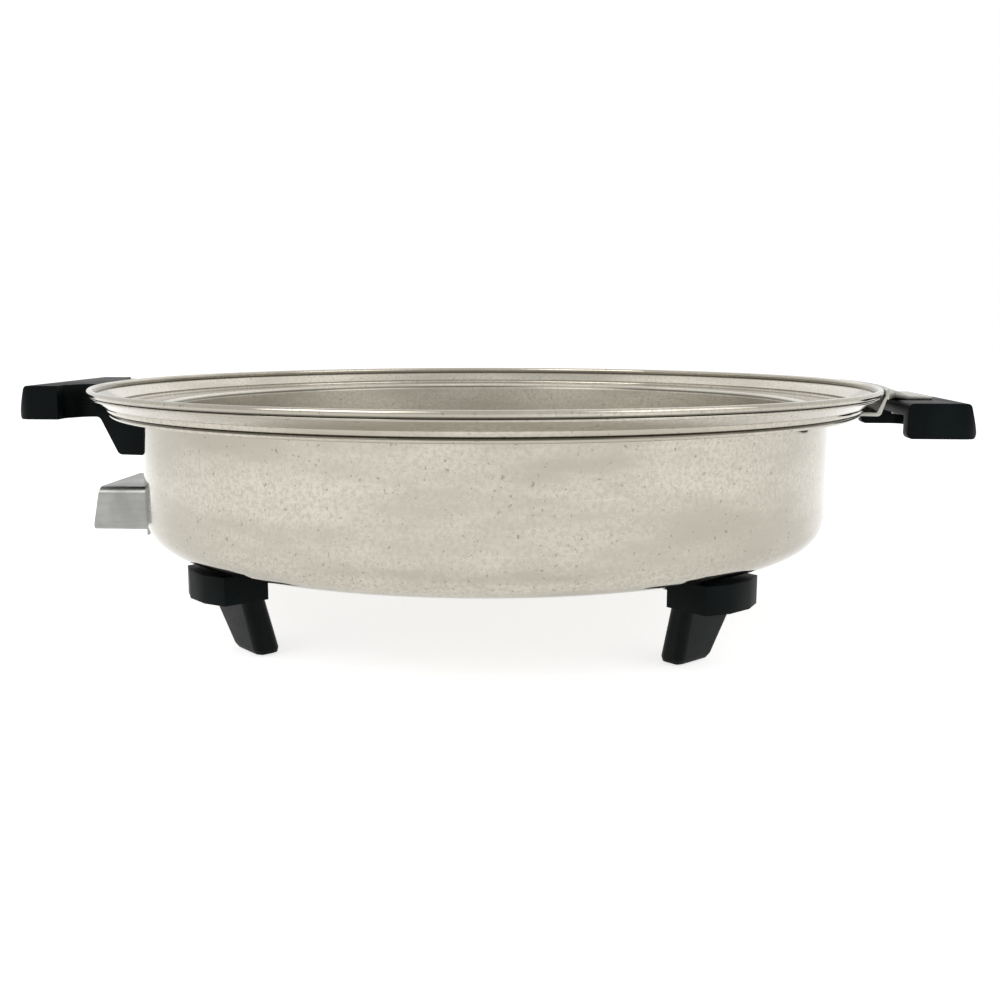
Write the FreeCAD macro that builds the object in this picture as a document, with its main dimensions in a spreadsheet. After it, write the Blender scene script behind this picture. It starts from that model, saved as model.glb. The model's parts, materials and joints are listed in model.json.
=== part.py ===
import FreeCAD, Part
import math
import os

import Sketcher

# Round stainless electric skillet with a double wall: an inner pan hangs by its ledge in an outer
# shell, and the heating tube and the probe tube lie in the sealed space between the two. Four
# phenolic legs carry it, and a phenolic handle stands out on each side. Millimetres. The origin is
# on the floor under the vessel's axis, +Z is up, and the probe guard is on the -X side.

Vector = FreeCAD.Vector
doc = FreeCAD.newDocument("electric_skillet")


class Size:
    """A length that knows its number and the sheet expression that it comes from."""

    def __init__(self, number, text=None):
        self.number = float(number)
        self.text = "%.6g" % number if text is None else text

    def __add__(self, other):
        other = as_size(other)
        return Size(self.number + other.number, "(%s + %s)" % (self.text, other.text))

    def __radd__(self, other):
        return as_size(other) + self

    def __sub__(self, other):
        other = as_size(other)
        return Size(self.number - other.number, "(%s - %s)" % (self.text, other.text))

    def __rsub__(self, other):
        return as_size(other) - self

    def __mul__(self, other):
        other = as_size(other)
        return Size(self.number * other.number, "(%s * %s)" % (self.text, other.text))

    def __rmul__(self, other):
        return as_size(other) * self

    def __truediv__(self, other):
        other = as_size(other)
        return Size(self.number / other.number, "(%s / %s)" % (self.text, other.text))

    def __neg__(self):
        return Size(-self.number, "(0 - %s)" % self.text)


def as_size(value):
    """Give a plain number the same form as a size of the sheet."""
    return value if isinstance(value, Size) else Size(value)


def root(value):
    """Square root of a size."""
    return Size(math.sqrt(value.number), "sqrt(%s)" % value.text)


def angle_across(width, radius):
    """Angle in degrees that a width takes up on a circle about the vessel's axis."""
    ratio = width / radius / 2
    return Size(2 * math.degrees(math.asin(ratio.number)), "(2 * asin(%s))" % ratio.text)


def polar(radius, angle):
    """Place on a circle about the vessel's axis, by its angle in degrees."""
    turned = math.radians(angle.number)
    x = Size(radius.number * math.cos(turned), "(%s * cos(%s * 1 deg))" % (radius.text, angle.text))
    y = Size(radius.number * math.sin(turned), "(%s * sin(%s * 1 deg))" % (radius.text, angle.text))
    return x, y


# Driving dimensions: name, value, meaning.
DIMENSIONS = (
    # vessel
    ("leg_height", 34.5, "floor to the shell's bottom"),
    ("body_height", 63.6, "shell's bottom to the top of the lip"),
    ("shell_radius", 142.3, "outside of the shell's wall"),
    ("shell_sheet", 0.8, "shell's sheet thickness"),
    ("shell_corner", 12.8, "outside radius of the shell's bottom corner"),
    ("pan_sheet", 1.0, "pan's sheet thickness"),
    ("core_gap", 5.5, "outside of the shell's wall in to the outside of the pan's wall"),
    ("pan_corner", 9.0, "outside radius of the pan's bottom corner"),
    ("core_depth", 13.6, "inside height between the shell's bottom and the pan's floor"),
    ("ledge_drop", 8.9, "top of the lip down to the ledge's underside"),
    ("ledge_root", 1.5, "rounding between the pan's wall and the ledge"),
    ("ledge_width", 13.3, "shell's wall out to the ledge's edge"),
    ("ledge_bead", 1.8, "rounding of the ledge's outer corner"),
    ("riser_foot", 2.0, "ledge's underside up to where the riser leaves the bead"),
    ("riser_flare", 5.0, "ledge's edge out to the outside of the riser's top"),
    ("riser_drop", 3.2, "top of the lip down to the riser's top"),
    ("lip_wire", 2.5, "thickness of the rolled lip"),
    ("lip_stand", 1.9, "riser's top out to the outside of the rolled lip"),
    # heating and probe parts
    ("element_radius", 96.0, "centre line of the heating tube's loop"),
    ("element_bend", 14.0, "centre line of the bends into the leads"),
    ("element_tube", 7.9, "heating tube's diameter"),
    ("spreader_sheet", 1.5, "heat spreader's thickness"),
    ("spreader_width", 26.0, "heat spreader's ring width"),
    ("pin_spacing", 27.0, "terminal pins, centre to centre"),
    ("pin_diameter", 4.8, "terminal pin's diameter"),
    ("pin_shank", 4.2, "pin's diameter inside its bush"),
    ("pin_step", 0.5, "bush's head out to where the pin becomes thicker"),
    ("pin_depth", 12.0, "pin's length inside the heating tube"),
    ("pin_stand", 16.7, "shell's wall out to the pins' free ends"),
    ("pin_round", 1.2, "rounding of the pin's free end"),
    ("bush_diameter", 6.2, "ceramic bush in the tube's end"),
    ("bush_flange", 1.6, "ceramic bush's head thickness"),
    ("tube_stand", 3.0, "tubes' length outside the shell's wall"),
    ("probe_bore", 6.4, "bore that takes the probe"),
    ("probe_wall", 0.7, "probe tube's wall"),
    ("probe_depth", 78.0, "bore's length"),
    ("probe_cap", 1.2, "thickness of the probe tube's closed end"),
    ("braze_gap", 0.1, "clearance at a brazed or pressed seat"),
    ("ferrule_wall", 1.5, "wall of the collars brazed round the tubes"),
    ("ferrule_length", 7.0, "length of these collars"),
    ("ferrule_stand", 2.0, "length of these collars outside the shell's wall"),
    # probe guard
    ("guard_sheet", 0.9, "guard's sheet thickness"),
    ("guard_width", 49.2, "guard's outside width"),
    ("guard_foot", 1.0, "shell's bottom up to the guard's underside"),
    ("guard_height", 18.7, "guard's outside height"),
    ("guard_length", 20.7, "shell's wall out to the guard's upper end"),
    ("guard_slant", 3.5, "how far the guard's lower end stands out past its upper end"),
    ("guard_flange", 9.0, "width of the side flanges on the shell's wall"),
    ("guard_lip", 4.9, "height of the upper flange on the shell's wall"),
    ("guard_bend", 3.5, "outside radius of the guard's bends"),
    # legs
    ("leg_angle", 44.5, "legs' direction from the handles' line, degrees"),
    ("leg_gap", 1.0, "washer between a leg and the shell"),
    ("leg_head", 10.4, "thickness of a leg's head"),
    ("leg_setback", 5.8, "shell's wall in to the outer edge of a leg's head"),
    ("leg_head_depth", 21.0, "head's outer edge in to its inner side"),
    ("leg_head_width", 29.0, "head's width"),
    ("leg_head_chamfer", 9.0, "head's outer corner cut, along its width"),
    ("leg_head_cut", 3.5, "head's outer corner cut, along its length"),
    ("leg_tab", 5.2, "thickness of the tab that the stud goes through"),
    ("leg_tab_length", 18.0, "head's inner side in to the tab's inner edge"),
    ("leg_tab_width", 22.0, "tab's width"),
    ("leg_tab_corner", 8.0, "rounding of the tab's inner corners"),
    ("leg_top_depth", 9.5, "blade's thickness at the head"),
    ("leg_foot_depth", 10.5, "blade's thickness at the floor"),
    ("leg_lean", 8.5, "how far in the blade's foot stands from its top"),
    ("leg_top_width", 28.0, "blade's width at the head"),
    ("leg_foot_width", 19.0, "blade's width at the floor"),
    ("leg_blade_corner", 3.6, "rounding of the blade's upright edges"),
    ("leg_foot_round", 2.6, "rounding of the foot's edge"),
    ("stud_inset", 9.0, "head's inner side in to the leg's stud"),
    ("stud_past", 0.5, "stud's length past its nut"),
    ("stud_diameter", 5.0, "leg stud's diameter"),
    ("washer_diameter", 12.0, "leg washer's diameter"),
    ("nut_width", 8.0, "leg nut, across the flats"),
    ("nut_height", 2.7, "leg nut's height"),
    ("nut_pocket", 2.9, "depth of the nut's pocket in the tab"),
    ("nut_play", 0.9, "how much wider the nut's pocket is than the nut's corners"),
    ("hole_play", 0.4, "how much wider a hole is than its stud or screw"),
    # handles
    ("grip_drop", 0.3, "top of the lip down to the probe-side grip's top"),
    ("grip_height", 13.8, "grip's thickness"),
    ("grip_width", 78.8, "grip's width across the handle"),
    ("grip_gap", 9.9, "lip out to the probe-side grip's inner edge"),
    ("grip_length", 14.2, "grip's inner edge out to its upper end"),
    ("grip_slant", 4.2, "how far the grip's lower end stands out past its upper end"),
    ("grip_corner", 7.0, "rounding of the grip's outer corners, seen from above"),
    ("grip_round", 2.2, "rounding of the grip's long edges"),
    ("neck_width", 56.0, "neck's width at the vessel"),
    ("neck_throat", 6.0, "rounding between the neck and the grip"),
    ("neck_waist", 46.0, "neck's width at its waist"),
    ("grip_heel", 3.0, "rounding of the grip's inner corners, seen from above"),
    ("skirt_height", 21.0, "ledge's underside down to the skirt's bottom"),
    ("skirt_top", 19.2, "shell's wall out to the skirt's outer face, at its top"),
    ("skirt_foot", 10.9, "shell's wall out to the skirt's outer face, at its bottom"),
    ("skirt_round", 2.6, "rounding of the skirt's outer corners"),
    ("fit_gap", 0.3, "clearance between the handle and the vessel"),
    ("handle_screw", 4.0, "handle screw's diameter"),
    ("handle_screw_head", 8.0, "handle screw's head diameter"),
    ("handle_screw_spacing", 26.0, "handle screws, centre to centre"),
    ("boss_diameter", 8.0, "wall boss's diameter"),
    ("boss_length", 5.0, "wall boss's length"),
    ("boss_spare", 1.0, "thread left below a screw's end in its boss"),
    ("screw_web", 2.4, "phenolic between a boss and its screw's head"),
    ("screw_head_height", 2.6, "handle screw's head height"),
    ("screw_slot", 1.1, "width of the slot in a screw's head"),
    ("boss_drop", 11.5, "ledge's underside down to the bosses' axis"),
    # far-side handle
    ("far_drop", 5.3, "how much lower the far-side grip sits"),
    ("far_gap", 4.5, "lip out to the far-side grip's inner face"),
    ("far_length", 23.8, "far-side grip's inner face out to its upper end"),
    ("bracket_sheet", 1.5, "far-side bracket's sheet thickness"),
    ("bracket_width", 79.0, "bracket's width along the rim"),
    ("bracket_tongue", 34.0, "width of the bracket's tongue on the grip"),
    ("bracket_tongue_end", 15.5, "far-side grip's inner face out to the tongue's end"),
    ("bracket_heel", 5.9, "ledge's edge out to the bracket's lower outer corner"),
    ("bracket_heel_round", 1.8, "rounding of that corner"),
    ("bracket_root", 8.2, "shell's wall out to the bracket's inner edge under the ledge"),
    ("bracket_fold", 11.7, "lip out to the fold between the bracket's slope and its tongue"),
    ("bracket_shoulder", 5.5, "lip out to where the bracket's taper ends"),
    ("bracket_flare", 6.0, "rounding at the end of the bracket's taper, seen from above"),
    ("far_screw_inset", 11.0, "far-side grip's inner face out to its screws"),
    ("far_screw_spacing", 20.0, "far-side screws, centre to centre"),
    ("far_roof", 5.0, "thickness over the hollow under the far-side grip"),
    ("far_end_wall", 6.0, "thickness of the walls at the hollow's ends"),
    ("far_outer_wall", 6.5, "thickness of the hollow's outer wall"),
    ("far_hollow_round", 5.0, "rounding of the hollow's outer corners, seen from above"),
    ("cut_past", 1.0, "how far a cut runs on past what it cuts"),
)

sheet = doc.addObject("Spreadsheet::Sheet", "Sizes")
SIZES = {}
for row, (name, value, meaning) in enumerate(DIMENSIONS, start=1):
    sheet.set("A%d" % row, name)
    sheet.set("B%d" % row, "%g" % value)
    sheet.set("C%d" % row, meaning)
    sheet.setAlias("B%d" % row, name)
    SIZES[name] = Size(value, "Sizes.%s" % name)
doc.recompute()
s = type("Sizes", (), SIZES)

# Places that several pieces share, worked out from the driving dimensions: first the distances from
# the vessel's axis, each from its neighbour's, then the heights.
pan_radius = s.shell_radius - s.core_gap
ledge_radius = s.shell_radius + s.ledge_width
riser_radius = ledge_radius + s.riser_flare
rim_radius = riser_radius + s.lip_stand
pin_reach = s.shell_radius + s.pin_stand
guard_reach = s.shell_radius + s.guard_length
guard_foot_reach = guard_reach + s.guard_slant
leg_head_outer = s.shell_radius - s.leg_setback
leg_head_inner = leg_head_outer - s.leg_head_depth
stud_place = leg_head_inner - s.stud_inset
grip_root = rim_radius + s.grip_gap
grip_reach = grip_root + s.grip_length
far_root = rim_radius + s.far_gap
far_reach = far_root + s.far_length
far_screw_place = far_root + s.far_screw_inset
bracket_fold = rim_radius + s.bracket_fold
lip_top = s.leg_height + s.body_height
ledge_under = lip_top - s.ledge_drop
pan_floor_under = s.leg_height + s.shell_sheet + s.core_depth
spreader_under = pan_floor_under - s.spreader_sheet
element_height = spreader_under - s.braze_gap - s.element_tube / 2
lip_under = lip_top - s.lip_wire
guard_under = s.leg_height + s.guard_foot
guard_top = guard_under + s.guard_height
leg_head_top = s.leg_height - s.leg_gap
leg_head_under = leg_head_top - s.leg_head
nut_seat = leg_head_top - s.leg_tab + s.nut_pocket
tube_end = s.shell_radius + s.tube_stand
probe_outer = s.probe_bore + 2 * s.probe_wall
element_seat = s.element_tube + 2 * s.ferrule_wall
probe_seat = probe_outer + 2 * s.ferrule_wall
grip_top = lip_top - s.grip_drop
grip_under = grip_top - s.grip_height
far_grip_top = grip_top - s.far_drop
far_grip_under = far_grip_top - s.grip_height
screw_height = ledge_under - s.boss_drop
tongue_top = far_grip_top + s.bracket_sheet
far_seat = far_grip_top - s.far_roof


def new_body(name):
    """Start a sub-part under its own name."""
    body = doc.addObject("PartDesign::Body", name)
    body.Label = name
    return body


def sketch_on(body, role, level=0.0):
    """Attach an empty sketch to one of the body's own planes, lifted by level along its normal."""
    sketch = body.newObject("Sketcher::SketchObject", "%s_sketch" % body.Name)
    plane = [item for item in body.Origin.OriginFeatures if item.Role == role][0]
    sketch.AttachmentSupport = [(plane, "")]
    sketch.MapMode = "FlatFace"
    level = as_size(level)
    sketch.AttachmentOffset = FreeCAD.Placement(Vector(0, 0, level.number), FreeCAD.Rotation())
    sketch.setExpression("AttachmentOffset.Base.z", level.text)
    return sketch


def bind(sketch, kind, where, value):
    """Add one driving constraint to a sketch and bind it to the sheet."""
    value = as_size(value)
    index = sketch.addConstraint(Sketcher.Constraint(kind, *where, value.number))
    name = "size_%d" % index
    sketch.renameConstraint(index, name)
    sketch.setExpression("Constraints.%s" % name, value.text)


def hold_point(sketch, geometry, end, x, y):
    """Hold a point of the sketch at (x, y)."""
    for kind, value, axis in (("DistanceX", x, -2), ("DistanceY", y, -1)):
        if as_size(value).number == 0.0:
            sketch.addConstraint(Sketcher.Constraint("PointOnObject", geometry, end, axis))
        else:
            bind(sketch, kind, (-1, 1, geometry, end), value)


def outline(sketch, corners):
    """Draw a closed outline through corners (x, y) or, where a corner is rounded, (x, y, radius)."""
    count = len(corners)
    points = [Vector(as_size(c[0]).number, as_size(c[1]).number, 0) for c in corners]
    leave = []
    arrive = []
    arcs = []
    for i, corner in enumerate(corners):
        before = (points[i - 1] - points[i]).normalize()
        after = (points[(i + 1) % count] - points[i]).normalize()
        if len(corner) == 2:
            arrive.append(points[i])
            leave.append(points[i])
            arcs.append(None)
            continue
        radius = as_size(corner[2]).number
        half = before.getAngle(after) / 2
        reach = radius / math.tan(half)
        arrive.append(points[i] + before * reach)
        leave.append(points[i] + after * reach)
        centre = points[i] + (before + after).normalize() * (radius / math.sin(half))
        left_turn = before.cross(after).z < 0
        first, last = (arrive[i], leave[i]) if left_turn else (leave[i], arrive[i])
        angles = [math.atan2(p.y - centre.y, p.x - centre.x) for p in (first, last)]
        if angles[1] < angles[0]:
            angles[1] += 2 * math.pi
        circle = Part.Circle(centre, Vector(0, 0, 1), radius)
        arcs.append((Part.ArcOfCircle(circle, angles[0], angles[1]), left_turn))
    lines = []
    for i in range(count):
        line = Part.LineSegment(leave[i], arrive[(i + 1) % count])
        lines.append(sketch.addGeometry(line, False))
    for i, corner in enumerate(corners):
        line_in, line_out = lines[i - 1], lines[i]
        if arcs[i] is None:
            sketch.addConstraint(Sketcher.Constraint("Coincident", line_in, 2, line_out, 1))
            hold_point(sketch, line_out, 1, corner[0], corner[1])
            continue
        arc = sketch.addGeometry(arcs[i][0], False)
        arc_in, arc_out = (1, 2) if arcs[i][1] else (2, 1)
        sketch.addConstraint(Sketcher.Constraint("Tangent", line_in, 2, arc, arc_in))
        sketch.addConstraint(Sketcher.Constraint("Tangent", arc, arc_out, line_out, 1))
        bind(sketch, "Radius", (arc,), corner[2])
        point = sketch.addGeometry(Part.Point(points[i]), True)
        sketch.addConstraint(Sketcher.Constraint("PointOnObject", point, 1, line_in))
        sketch.addConstraint(Sketcher.Constraint("PointOnObject", point, 1, line_out))
        hold_point(sketch, point, 1, corner[0], corner[1])


def ring(sketch, x, y, diameter):
    """Draw a circle by its centre and diameter."""
    radius = as_size(diameter) / 2
    centre = Vector(as_size(x).number, as_size(y).number, 0)
    circle = sketch.addGeometry(Part.Circle(centre, Vector(0, 0, 1), radius.number), False)
    hold_point(sketch, circle, 3, x, y)
    bind(sketch, "Radius", (circle,), radius)


def rectangle(sketch, x0, x1, y0, y1, rounding=None):
    """Draw a rectangle between two corners, with rounded corners where a rounding is given."""
    corners = ((x0, y0), (x1, y0), (x1, y1), (x0, y1))
    if rounding is not None:
        corners = tuple(corner + (rounding,) for corner in corners)
    outline(sketch, corners)


def volume_of(body):
    """Volume of a body as it stands, 0 while it is empty."""
    return body.Shape.Volume if not body.Shape.isNull() else 0.0


def finish_feature(body, feature, removes=False):
    """Recompute, make the feature the body's tip and check that it changed the solid."""
    before = volume_of(body)
    body.Tip = feature
    doc.recompute()
    change = volume_of(body) - before
    if (change >= 0) == removes:
        raise RuntimeError("%s of %s changed nothing: %.4f" % (feature.Name, body.Name, change))
    return feature


def pad(body, sketch, length, both_sides=False, backwards=False):
    """Add the sketch's area pushed out by length."""
    return extrude(body, sketch, "Pad", length, both_sides, backwards)


def pocket(body, sketch, length, both_sides=False, backwards=False):
    """Cut the sketch's area to the given depth."""
    return extrude(body, sketch, "Pocket", length, both_sides, backwards)


def extrude(body, sketch, kind, length, both_sides, backwards):
    """Make a pad or a pocket."""
    feature = body.newObject("PartDesign::%s" % kind, "%s_%s" % (body.Name, kind.lower()))
    feature.Profile = sketch
    length = as_size(length)
    feature.Length = length.number
    feature.setExpression("Length", length.text)
    feature.SideType = "Symmetric" if both_sides else "One side"
    feature.Reversed = backwards
    return finish_feature(body, feature, removes=kind == "Pocket")


def turn(body, sketch, kind="Revolution", angle=360.0):
    """Add or cut the sketch's area turned about the vessel's axis, evenly to both sides."""
    feature = body.newObject("PartDesign::%s" % kind, "%s_%s" % (body.Name, kind.lower()))
    feature.Profile = sketch
    feature.ReferenceAxis = (sketch, ["V_Axis"])
    angle = as_size(angle)
    feature.Angle = angle.number
    feature.setExpression("Angle", angle.text)
    feature.Midplane = angle.number < 360.0
    return finish_feature(body, feature, removes=kind == "Groove")


def round_edges(body, radius, chosen):
    """Fillet the body's edges for which chosen(edge) is true."""
    base = body.Tip
    names = ["Edge%d" % (i + 1) for i, edge in enumerate(base.Shape.Edges) if chosen(edge)]
    feature = body.newObject("PartDesign::Fillet", "%s_fillet" % body.Name)
    feature.Base = (base, names)
    feature.Radius = as_size(radius).number
    feature.setExpression("Radius", as_size(radius).text)
    body.Tip = feature
    doc.recompute()
    if "Invalid" in feature.State:
        raise RuntimeError("%s has no fillet: %s" % (body.Name, feature.getStatusString()))
    return feature


def thin(body, sheet_size, open_face):
    """Hollow the body to a sheet that lies inside its surface, open where open_face(face) is true."""
    base = body.Tip
    faces = ["Face%d" % (i + 1) for i, face in enumerate(base.Shape.Faces) if open_face(face)]
    feature = body.newObject("PartDesign::Thickness", "%s_sheet" % body.Name)
    feature.Base = (base, faces)
    feature.Value = sheet_size.number
    feature.setExpression("Value", sheet_size.text)
    feature.Reversed = True
    feature.Join = "Intersection"
    return finish_feature(body, feature, removes=True)


def at_height(level):
    """Pick faces or edges that lie wholly at one height."""
    height = as_size(level).number
    return lambda item: max(abs(item.BoundBox.ZMin - height), abs(item.BoundBox.ZMax - height)) < 0.01


def make_inner_pan():
    """Pan with a flat floor, a broad ledge, a flaring riser and a lip rolled outwards."""
    body = new_body("inner_pan")
    profile = sketch_on(body, "XZ_Plane")
    neck_top = lip_top - s.lip_wire / 2
    outline(profile, (
        (0, pan_floor_under),
        (pan_radius, pan_floor_under, s.pan_corner),
        (pan_radius, ledge_under, s.ledge_root),
        (ledge_radius, ledge_under, s.ledge_bead),
        (ledge_radius, ledge_under + s.riser_foot),
        (riser_radius, lip_top - s.riser_drop),
        (riser_radius, neck_top),
        (0, neck_top)))
    turn(body, profile)
    thin(body, s.pan_sheet, at_height(neck_top))
    lip = sketch_on(body, "XZ_Plane")
    ring(lip, rim_radius - s.lip_wire / 2, lip_top - s.lip_wire / 2, s.lip_wire)
    turn(body, lip)


def make_outer_shell():
    """Cup that closes the core from below, welded to the ledge, with holes for the three tubes."""
    body = new_body("outer_shell")
    profile = sketch_on(body, "XZ_Plane")
    outline(profile, (
        (0, s.leg_height),
        (s.shell_radius, s.leg_height, s.shell_corner),
        (s.shell_radius, ledge_under),
        (0, ledge_under)))
    turn(body, profile)
    thin(body, s.shell_sheet, at_height(ledge_under))
    holes = sketch_on(body, "YZ_Plane")
    for side in (-1, 1):
        ring(holes, side * s.pin_spacing / 2, element_height, element_seat)
    ring(holes, 0, element_height, probe_seat)
    pocket(body, holes, s.shell_radius + s.cut_past)


def make_heat_spreader():
    """Aluminium ring under the pan's floor, over the heating tube."""
    body = new_body("heat_spreader")
    band = sketch_on(body, "XY_Plane", spreader_under)
    for side in (-1, 1):
        ring(band, 0, 0, 2 * s.element_radius + side * s.spreader_width)
    pad(body, band, s.spreader_sheet)


def make_heating_element():
    """Sheathed heating tube: one loop, and two leads that turn out through the shell's wall."""
    body = new_body("heating_element")
    path = sketch_on(body, "XY_Plane", element_height)
    lead = s.pin_spacing / 2
    bend_y = lead + s.element_bend
    apart = s.element_radius + s.element_bend
    bend_x = -root(apart * apart - bend_y * bend_y)
    share = s.element_radius.number / apart.number
    touch = Vector(bend_x.number, bend_y.number, 0) * share
    up = Vector(0, 0, 1)
    loop_start = math.atan2(-touch.y, touch.x)
    loop_end = math.atan2(touch.y, touch.x)
    loop = path.addGeometry(Part.ArcOfCircle(Part.Circle(Vector(), up, s.element_radius.number),
                                             loop_start, loop_end), False)
    bend_turn = math.atan2(-touch.y + bend_y.number, -touch.x + bend_x.number)
    reach = -tube_end
    far = reach.number
    bend_half = math.atan2(bend_y.number, -bend_x.number)
    circle = Part.Circle(Vector(bend_x.number, bend_y.number, 0), up, s.element_bend.number)
    left_bend = path.addGeometry(Part.ArcOfCircle(circle, -math.pi / 2, -bend_half), False)
    circle = Part.Circle(Vector(bend_x.number, -bend_y.number, 0), up, s.element_bend.number)
    right_bend = path.addGeometry(Part.ArcOfCircle(circle, bend_half, math.pi / 2), False)
    left_lead = path.addGeometry(Part.LineSegment(
        Vector(far, lead.number, 0), Vector(bend_x.number, lead.number, 0)), False)
    right_lead = path.addGeometry(Part.LineSegment(
        Vector(far, -lead.number, 0), Vector(bend_x.number, -lead.number, 0)), False)
    for first, first_end, second, second_end in (
            (left_lead, 2, left_bend, 1), (left_bend, 2, loop, 2),
            (loop, 1, right_bend, 1), (right_bend, 2, right_lead, 2)):
        path.addConstraint(Sketcher.Constraint("Tangent", first, first_end, second, second_end))
    path.addConstraint(Sketcher.Constraint("Coincident", loop, 3, -1, 1))
    bind(path, "Radius", (loop,), s.element_radius)
    for bend in (left_bend, right_bend):
        bind(path, "Radius", (bend,), s.element_bend)
    hold_point(path, left_lead, 1, reach, lead)
    hold_point(path, right_lead, 1, reach, -lead)
    path.addConstraint(Sketcher.Constraint("Horizontal", left_lead))
    path.addConstraint(Sketcher.Constraint("Horizontal", right_lead))
    section = sketch_on(body, "YZ_Plane", reach)
    ring(section, lead, element_height, s.element_tube)
    tube = body.newObject("PartDesign::AdditivePipe", "heating_element_tube")
    tube.Profile = section
    tube.Spine = path
    finish_feature(body, tube)
    bores = sketch_on(body, "YZ_Plane", reach)
    for side in (-1, 1):
        ring(bores, side * lead, element_height, s.bush_diameter)
    pocket(body, bores, s.pin_depth, backwards=True)


def make_pin_insulators():
    """Ceramic bushes that hold the pins in the heating tube's ends."""
    body = new_body("pin_insulators")
    bore = s.pin_shank + s.braze_gap
    sleeve = sketch_on(body, "YZ_Plane", -tube_end)
    head = sketch_on(body, "YZ_Plane", -tube_end)
    for side in (-1, 1):
        for sketch, outside in ((sleeve, s.bush_diameter - s.braze_gap), (head, s.element_tube)):
            ring(sketch, side * s.pin_spacing / 2, element_height, outside)
            ring(sketch, side * s.pin_spacing / 2, element_height, bore)
    pad(body, sleeve, s.pin_depth)
    pad(body, head, s.bush_flange, backwards=True)


def make_terminal_pins():
    """Two round pins that the plug of the heat control grips."""
    body = new_body("terminal_pins")
    step = tube_end + s.bush_flange + s.pin_step
    ends = sketch_on(body, "YZ_Plane", -pin_reach)
    shanks = sketch_on(body, "YZ_Plane", -step)
    for side in (-1, 1):
        ring(ends, side * s.pin_spacing / 2, element_height, s.pin_diameter)
        ring(shanks, side * s.pin_spacing / 2, element_height, s.pin_shank)
    pad(body, ends, pin_reach - step)
    pad(body, shanks, step - tube_end + s.pin_depth)
    round_edges(body, s.pin_round, lambda edge: abs(edge.BoundBox.XMax + pin_reach.number) < 0.01)


def make_probe_tube():
    """Closed tube that takes the heat control's probe."""
    body = new_body("probe_tube")
    outside = sketch_on(body, "YZ_Plane", -tube_end)
    ring(outside, 0, element_height, probe_outer)
    pad(body, outside, s.probe_depth + s.probe_cap)
    bore = sketch_on(body, "YZ_Plane", -tube_end)
    ring(bore, 0, element_height, s.probe_bore)
    pocket(body, bore, s.probe_depth, backwards=True)


def make_ferrules(name, places, tube, seat):
    """Collars brazed into the shell's wall round the tubes that pass it."""
    body = new_body(name)
    band = sketch_on(body, "YZ_Plane", -(s.shell_radius + s.ferrule_stand))
    for place in places:
        ring(band, place, element_height, seat - s.braze_gap)
        ring(band, place, element_height, tube + s.braze_gap)
    pad(body, band, s.ferrule_length)


def make_probe_guard():
    """Sheet sleeve round the pins, open at its outer end, with flanges on the shell's wall."""
    body = new_body("probe_guard")
    half = s.guard_width / 2
    block = sketch_on(body, "YZ_Plane", -guard_foot_reach)
    rectangle(block, -half, half, guard_under, guard_top, s.guard_bend)
    pad(body, block, guard_foot_reach - s.shell_radius + s.guard_flange)
    inside = sketch_on(body, "XZ_Plane")
    rectangle(inside, 0, s.shell_radius, guard_under - s.cut_past, guard_top + s.cut_past)
    turn(body, inside, "Groove")
    flange = sketch_on(body, "XZ_Plane")
    rectangle(flange, -(s.shell_radius + s.guard_sheet), -s.shell_radius,
              guard_under, guard_top + s.guard_lip)
    turn(body, flange, angle=angle_across(s.guard_width + 2 * s.guard_flange, s.shell_radius))
    web = sketch_on(body, "XZ_Plane")
    outside = s.shell_radius + s.guard_sheet
    outline(web, (
        (-s.shell_radius, guard_top + s.guard_lip),
        (-outside, guard_top + s.guard_lip),
        (-outside, guard_top, s.guard_bend),
        (-outside - s.guard_bend - s.guard_sheet, guard_top),
        (-outside - s.guard_bend - s.guard_sheet, guard_top - s.guard_sheet),
        (-s.shell_radius, guard_top - s.guard_sheet)))
    turn(body, web, angle=angle_across(s.guard_width - 2 * s.guard_bend, s.shell_radius))
    mouth = sketch_on(body, "YZ_Plane", -guard_foot_reach)
    rectangle(mouth, -half + s.guard_sheet, half - s.guard_sheet,
              guard_under + s.guard_sheet, guard_top - s.guard_sheet, s.guard_bend - s.guard_sheet)
    pocket(body, mouth, guard_foot_reach, backwards=True)
    slant = sketch_on(body, "XZ_Plane")
    outline(slant, (
        (-guard_foot_reach, guard_under),
        (-guard_reach, guard_top),
        (-guard_reach, guard_top + s.cut_past),
        (-guard_foot_reach - s.cut_past, guard_top + s.cut_past),
        (-guard_foot_reach - s.cut_past, guard_under)))
    pocket(body, slant, s.guard_width + 2 * s.cut_past, both_sides=True)


def blade_section(body, level, inset):
    """Draw a leg's blade at one height, smaller by inset all round where its foot is rounded."""
    rise = level / leg_head_under
    face = leg_head_inner - s.leg_lean * (1 - rise)
    depth = s.leg_foot_depth + (s.leg_top_depth - s.leg_foot_depth) * rise
    half = (s.leg_foot_width + (s.leg_top_width - s.leg_foot_width) * rise) / 2 - inset
    sketch = sketch_on(body, "XY_Plane", level)
    rectangle(sketch, face + inset, face + depth - inset, -half, half, s.leg_blade_corner - inset)
    return sketch


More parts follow.
